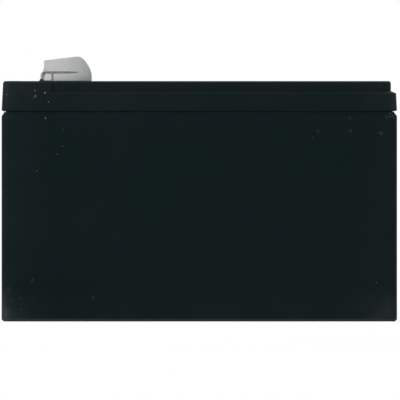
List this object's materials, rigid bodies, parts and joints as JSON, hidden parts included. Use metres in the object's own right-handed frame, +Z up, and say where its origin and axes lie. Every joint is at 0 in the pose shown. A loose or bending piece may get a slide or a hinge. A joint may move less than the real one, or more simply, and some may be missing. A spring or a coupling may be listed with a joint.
{
  "type": "sealed lead acid battery",
  "caption": "Black rectangular sealed lead acid battery with a stepped lid, blade terminals under push-on caps, and its plates, mats, straps and valves inside.",
  "frame": {"origin": "middle of the container's underside", "axes": "+X along the length, away from the terminals; -Y is the plain long side that the picture shows; +Z up"},
  "size_m": [0.151, 0.065, 0.1015],
  "materials": {
    "container_plastic": "fine satin moulding",
    "lid_plastic": "fine satin moulding",
    "vent_cover_plastic": "satin",
    "adhesive": "cured epoxy",
    "resin": "cured potting resin",
    "cap_plastic": "milky grey soft plastic",
    "tinned_brass": "bright tin plating",
    "rubber": "matte",
    "lead": "dull cast lead",
    "positive_paste": "cured plate paste, dark brown",
    "negative_paste": "cured plate paste, grey",
    "glass_mat": "white glass fibre mat"
  },
  "bodies": {
    "root": {"cell_1_negative_plates": "negative_paste", "cell_1_negative_strap": "lead", "cell_1_positive_plates": "positive_paste", "cell_1_positive_strap": "lead", "cell_1_separators": "glass_mat", "cell_2_negative_plates": "negative_paste", "cell_2_negative_strap": "lead", "cell_2_positive_plates": "positive_paste", "cell_2_positive_strap": "lead", "cell_2_separators": "glass_mat", "cell_3_negative_plates": "negative_paste", "cell_3_negative_strap": "lead", "cell_3_positive_plates": "positive_paste", "cell_3_positive_strap": "lead", "cell_3_separators": "glass_mat", "cell_4_negative_plates": "negative_paste", "cell_4_negative_strap": "lead", "cell_4_positive_plates": "positive_paste", "cell_4_positive_strap": "lead", "cell_4_separators": "glass_mat", "cell_5_negative_plates": "negative_paste", "cell_5_negative_strap": "lead", "cell_5_positive_plates": "positive_paste", "cell_5_positive_strap": "lead", "cell_5_separators": "glass_mat", "cell_6_negative_plates": "negative_paste", "cell_6_negative_strap": "lead", "cell_6_positive_plates": "positive_paste", "cell_6_positive_strap": "lead", "cell_6_separators": "glass_mat", "container": "container_plastic", "lid": "lid_plastic", "lid_adhesive": "adhesive", "negative_post": "lead", "negative_seal_ring": "rubber", "negative_tab": "tinned_brass", "negative_terminal_cap": "cap_plastic", "negative_terminal_seal": "resin", "positive_post": "lead", "positive_seal_ring": "rubber", "positive_tab": "tinned_brass", "positive_terminal_cap": "cap_plastic", "positive_terminal_seal": "resin", "valve_cap_1": "rubber", "valve_cap_2": "rubber", "valve_cap_3": "rubber", "valve_cap_4": "rubber", "valve_cap_5": "rubber", "valve_cap_6": "rubber", "vent_cover": "vent_cover_plastic", "weld_1_2": "lead", "weld_2_3": "lead", "weld_3_4": "lead", "weld_4_5": "lead", "weld_5_6": "lead"}
  },
  "joints": []
}
